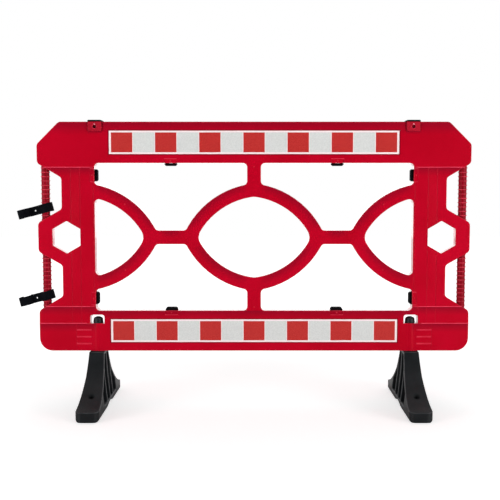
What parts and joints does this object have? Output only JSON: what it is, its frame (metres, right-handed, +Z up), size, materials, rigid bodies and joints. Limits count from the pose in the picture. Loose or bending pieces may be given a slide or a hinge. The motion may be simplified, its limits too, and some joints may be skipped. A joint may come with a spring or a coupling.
{
  "type": "pedestrian barrier panel",
  "caption": "Red moulded pedestrian barrier panel with an open lattice of eye shapes, reflective strips, hinge bars, hook-on connectors and turning black feet.",
  "frame": {"origin": "on the floor, midway along and across the whole object's box, connectors at rest included", "axes": "+X along the panel to the right as seen from the front, +Y from the front to the rear, +Z up"},
  "size_m": [1.5762, 0.5, 0.9988],
  "materials": {
    "panel_red": "glossy moulded polyethylene",
    "bar_red": "ribbed moulded polyethylene",
    "foot_black": "matt recycled rubber compound",
    "connector_black": "satin black plastic",
    "clip_black": "satin black plastic",
    "strip_sheeting": "prismatic reflective sheeting with red squares"
  },
  "bodies": {
    "panel": {"front_shell": "panel_red", "rear_shell": "panel_red", "hinge_bar_left": "bar_red", "hinge_bar_right": "bar_red", "top_clip_left": "clip_black", "top_clip_right": "clip_black", "clip_beam_upper_left": "clip_black", "clip_beam_upper_right": "clip_black", "clip_beam_lower_left": "clip_black", "clip_beam_lower_right": "clip_black", "clip_post_upper_left": "clip_black", "clip_post_upper_right": "clip_black", "clip_post_lower_left": "clip_black", "clip_post_lower_right": "clip_black", "fixing_tab_front_left": "panel_red", "fixing_tab_front_right": "panel_red", "fixing_tab_rear_left": "panel_red", "fixing_tab_rear_right": "panel_red", "strip_front_upper": "strip_sheeting", "strip_front_lower": "strip_sheeting", "strip_rear_upper": "strip_sheeting", "strip_rear_lower": "strip_sheeting"},
    "foot_left": {"foot_left": "foot_black"},
    "foot_right": {"foot_right": "foot_black"},
    "connector_upper": {"connector_upper": "connector_black"},
    "connector_lower": {"connector_lower": "connector_black"}
  },
  "joints": [
    {"name": "foot_left_swivel", "type": "hinge", "parent": "panel", "child": "foot_left", "pos_m": [-0.50991, 0, 0], "axis": [0, 0, 1], "range_deg": [-90, 90]},
    {"name": "foot_right_swivel", "type": "hinge", "parent": "panel", "child": "foot_right", "pos_m": [0.58609, 0, 0], "axis": [0, 0, 1], "range_deg": [-90, 90]},
    {"name": "connector_upper_swivel", "type": "hinge", "parent": "panel", "child": "connector_upper", "pos_m": [-0.68691, 0, 0], "axis": [0, 0, 1], "range_deg": [-120, 120]},
    {"name": "connector_lower_swivel", "type": "hinge", "parent": "panel", "child": "connector_lower", "pos_m": [-0.68691, 0, 0], "axis": [0, 0, 1], "range_deg": [-120, 120]}
  ]
}
